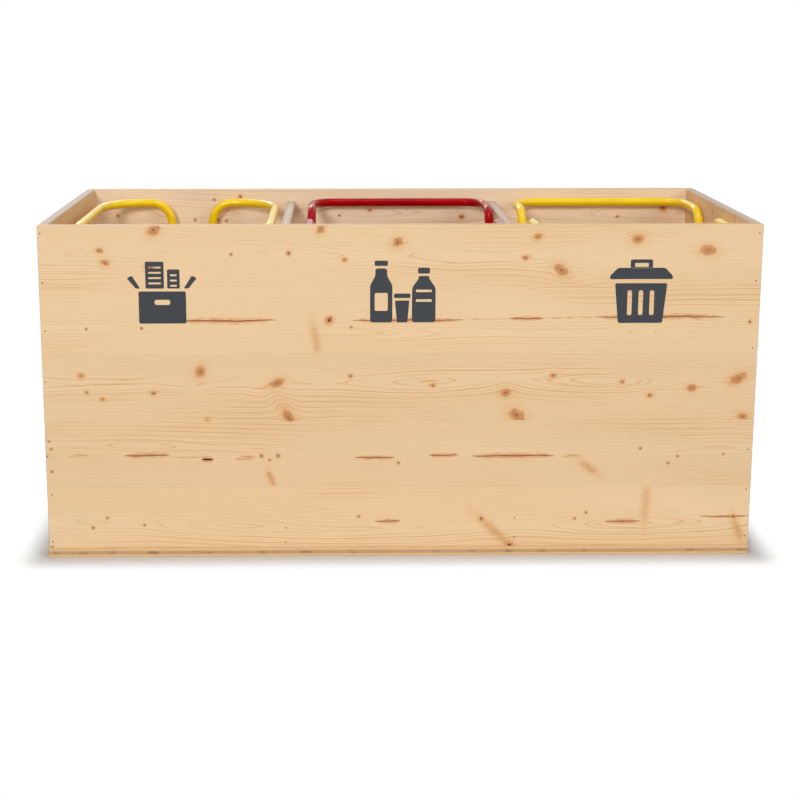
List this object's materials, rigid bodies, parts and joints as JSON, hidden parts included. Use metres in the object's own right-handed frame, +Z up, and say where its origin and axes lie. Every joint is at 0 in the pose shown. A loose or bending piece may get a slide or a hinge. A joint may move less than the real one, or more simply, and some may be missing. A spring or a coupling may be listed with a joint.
{
  "type": "recycling bin station",
  "caption": "Long open-topped wooden recycling station divided into bays, with bent-tube trolleys on castors inside and a drop-down rear panel.",
  "frame": {"origin": "on the floor, at the middle of the casing's width and depth, on the base board's underside", "axes": "+Z up, front panel faces -Y, +X to the right seen from the front"},
  "size_m": [2.096, 0.8133, 1.002],
  "materials": {
    "spruce_board": "three-layer spruce, clear satin lacquer",
    "birch_deck": "plywood, clear matt lacquer",
    "yellow_paint": "gloss powder coat on steel tube",
    "red_paint": "gloss powder coat on steel tube",
    "zinc_steel": "zinc plated",
    "grey_rubber": "matt",
    "white_plastic": "moulded"
  },
  "bodies": {
    "casing": {"base_board": "spruce_board", "front_panel": "spruce_board", "left_side_panel": "spruce_board", "right_side_panel": "spruce_board", "left_divider": "spruce_board", "right_divider": "spruce_board", "left_magnet_catch": "white_plastic", "right_magnet_catch": "white_plastic", "left_hinge_base_leaf": "zinc_steel", "centre_hinge_base_leaf": "zinc_steel", "right_hinge_base_leaf": "zinc_steel"},
    "rear_panel": {"rear_panel": "spruce_board", "left_hinge_panel_leaf": "zinc_steel", "centre_hinge_panel_leaf": "zinc_steel", "right_hinge_panel_leaf": "zinc_steel", "left_strike_plate": "zinc_steel", "right_strike_plate": "zinc_steel"},
    "left_trolley": {"left_trolley_deck": "birch_deck", "left_trolley_left_hoop": "yellow_paint", "left_trolley_right_hoop": "yellow_paint", "left_trolley_push_handle": "yellow_paint", "left_trolley_left_fixed_fork": "zinc_steel", "left_trolley_left_swivel_plate": "zinc_steel", "left_trolley_right_fixed_fork": "zinc_steel", "left_trolley_right_swivel_plate": "zinc_steel"},
    "left_trolley_left_swivel": {"left_trolley_left_swivel_fork": "zinc_steel"},
    "left_trolley_left_swivel_wheel": {"left_trolley_left_swivel_wheel": "grey_rubber"},
    "left_trolley_left_fixed_wheel": {"left_trolley_left_fixed_wheel": "grey_rubber"},
    "left_trolley_right_swivel": {"left_trolley_right_swivel_fork": "zinc_steel"},
    "left_trolley_right_swivel_wheel": {"left_trolley_right_swivel_wheel": "grey_rubber"},
    "left_trolley_right_fixed_wheel": {"left_trolley_right_fixed_wheel": "grey_rubber"},
    "middle_trolley": {"middle_trolley_deck": "birch_deck", "middle_trolley_left_hoop": "red_paint", "middle_trolley_right_hoop": "red_paint", "middle_trolley_push_handle": "red_paint", "middle_trolley_left_fixed_fork": "zinc_steel", "middle_trolley_left_swivel_plate": "zinc_steel", "middle_trolley_right_fixed_fork": "zinc_steel", "middle_trolley_right_swivel_plate": "zinc_steel"},
    "middle_trolley_left_swivel": {"middle_trolley_left_swivel_fork": "zinc_steel"},
    "middle_trolley_left_swivel_wheel": {"middle_trolley_left_swivel_wheel": "grey_rubber"},
    "middle_trolley_left_fixed_wheel": {"middle_trolley_left_fixed_wheel": "grey_rubber"},
    "middle_trolley_right_swivel": {"middle_trolley_right_swivel_fork": "zinc_steel"},
    "middle_trolley_right_swivel_wheel": {"middle_trolley_right_swivel_wheel": "grey_rubber"},
    "middle_trolley_right_fixed_wheel": {"middle_trolley_right_fixed_wheel": "grey_rubber"},
    "right_trolley": {"right_trolley_deck": "birch_deck", "right_trolley_left_hoop": "yellow_paint", "right_trolley_right_hoop": "yellow_paint", "right_trolley_push_handle": "yellow_paint", "right_trolley_left_fixed_fork": "zinc_steel", "right_trolley_left_swivel_plate": "zinc_steel", "right_trolley_right_fixed_fork": "zinc_steel", "right_trolley_right_swivel_plate": "zinc_steel"},
    "right_trolley_left_swivel": {"right_trolley_left_swivel_fork": "zinc_steel"},
    "right_trolley_left_swivel_wheel": {"right_trolley_left_swivel_wheel": "grey_rubber"},
    "right_trolley_left_fixed_wheel": {"right_trolley_left_fixed_wheel": "grey_rubber"},
    "right_trolley_right_swivel": {"right_trolley_right_swivel_fork": "zinc_steel"},
    "right_trolley_right_swivel_wheel": {"right_trolley_right_swivel_wheel": "grey_rubber"},
    "right_trolley_right_fixed_wheel": {"right_trolley_right_fixed_wheel": "grey_rubber"}
  },
  "joints": [
    {"name": "rear_panel_drop", "type": "hinge", "parent": "casing", "child": "rear_panel", "pos_m": [0, 0.4053, 0.0285], "axis": [-1, 0, 0], "range_deg": [0, 90]},
    {"name": "left_trolley_lift", "type": "slide", "parent": "casing", "child": "left_trolley", "axis": [0, 0, 1], "range_m": [0, 1]},
    {"name": "left_trolley_left_castor_swivel", "type": "hinge", "parent": "left_trolley", "child": "left_trolley_left_swivel", "pos_m": [-0.9072, -0.259, 0], "axis": [0, 0, 1], "continuous": true},
    {"name": "left_trolley_left_swivel_wheel_roll", "type": "hinge", "parent": "left_trolley_left_swivel", "child": "left_trolley_left_swivel_wheel", "pos_m": [-0.9072, -0.285, 0.0648], "axis": [1, 0, 0], "continuous": true},
    {"name": "left_trolley_left_fixed_wheel_roll", "type": "hinge", "parent": "left_trolley", "child": "left_trolley_left_fixed_wheel", "pos_m": [-0.9072, 0.269, 0.0648], "axis": [1, 0, 0], "continuous": true},
    {"name": "left_trolley_right_castor_swivel", "type": "hinge", "parent": "left_trolley", "child": "left_trolley_right_swivel", "pos_m": [-0.45413, -0.259, 0], "axis": [0, 0, 1], "continuous": true},
    {"name": "left_trolley_right_swivel_wheel_roll", "type": "hinge", "parent": "left_trolley_right_swivel", "child": "left_trolley_right_swivel_wheel", "pos_m": [-0.45413, -0.285, 0.0648], "axis": [1, 0, 0], "continuous": true},
    {"name": "left_trolley_right_fixed_wheel_roll", "type": "hinge", "parent": "left_trolley", "child": "left_trolley_right_fixed_wheel", "pos_m": [-0.45413, 0.269, 0.0648], "axis": [1, 0, 0], "continuous": true},
    {"name": "middle_trolley_lift", "type": "slide", "parent": "casing", "child": "middle_trolley", "axis": [0, 0, 1], "range_m": [0, 1]},
    {"name": "middle_trolley_left_castor_swivel", "type": "hinge", "parent": "middle_trolley", "child": "middle_trolley_left_swivel", "pos_m": [-0.20553, 0.082, 0], "axis": [0, 0, 1], "continuous": true},
    {"name": "middle_trolley_left_swivel_wheel_roll", "type": "hinge", "parent": "middle_trolley_left_swivel", "child": "middle_trolley_left_swivel_wheel", "pos_m": [-0.20553, 0.108, 0.0648], "axis": [1, 0, 0], "continuous": true},
    {"name": "middle_trolley_left_fixed_wheel_roll", "type": "hinge", "parent": "middle_trolley", "child": "middle_trolley_left_fixed_wheel", "pos_m": [-0.20553, -0.269, 0.0648], "axis": [1, 0, 0], "continuous": true},
    {"name": "middle_trolley_right_castor_swivel", "type": "hinge", "parent": "middle_trolley", "child": "middle_trolley_right_swivel", "pos_m": [0.24753, 0.082, 0], "axis": [0, 0, 1], "continuous": true},
    {"name": "middle_trolley_right_swivel_wheel_roll", "type": "hinge", "parent": "middle_trolley_right_swivel", "child": "middle_trolley_right_swivel_wheel", "pos_m": [0.24753, 0.108, 0.0648], "axis": [1, 0, 0], "continuous": true},
    {"name": "middle_trolley_right_fixed_wheel_roll", "type": "hinge", "parent": "middle_trolley", "child": "middle_trolley_right_fixed_wheel", "pos_m": [0.24753, -0.269, 0.0648], "axis": [1, 0, 0], "continuous": true},
    {"name": "right_trolley_lift", "type": "slide", "parent": "casing", "child": "right_trolley", "axis": [0, 0, 1], "range_m": [0, 1]},
    {"name": "right_trolley_left_castor_swivel", "type": "hinge", "parent": "right_trolley", "child": "right_trolley_left_swivel", "pos_m": [0.48313, 0.082, 0], "axis": [0, 0, 1], "continuous": true},
    {"name": "right_trolley_left_swivel_wheel_roll", "type": "hinge", "parent": "right_trolley_left_swivel", "child": "right_trolley_left_swivel_wheel", "pos_m": [0.48313, 0.108, 0.0648], "axis": [1, 0, 0], "continuous": true},
    {"name": "right_trolley_left_fixed_wheel_roll", "type": "hinge", "parent": "right_trolley", "child": "right_trolley_left_fixed_wheel", "pos_m": [0.48313, -0.269, 0.0648], "axis": [1, 0, 0], "continuous": true},
    {"name": "right_trolley_right_castor_swivel", "type": "hinge", "parent": "right_trolley", "child": "right_trolley_right_swivel", "pos_m": [0.9362, 0.082, 0], "axis": [0, 0, 1], "continuous": true},
    {"name": "right_trolley_right_swivel_wheel_roll", "type": "hinge", "parent": "right_trolley_right_swivel", "child": "right_trolley_right_swivel_wheel", "pos_m": [0.9362, 0.108, 0.0648], "axis": [1, 0, 0], "continuous": true},
    {"name": "right_trolley_right_fixed_wheel_roll", "type": "hinge", "parent": "right_trolley", "child": "right_trolley_right_fixed_wheel", "pos_m": [0.9362, -0.269, 0.0648], "axis": [1, 0, 0], "continuous": true}
  ]
}
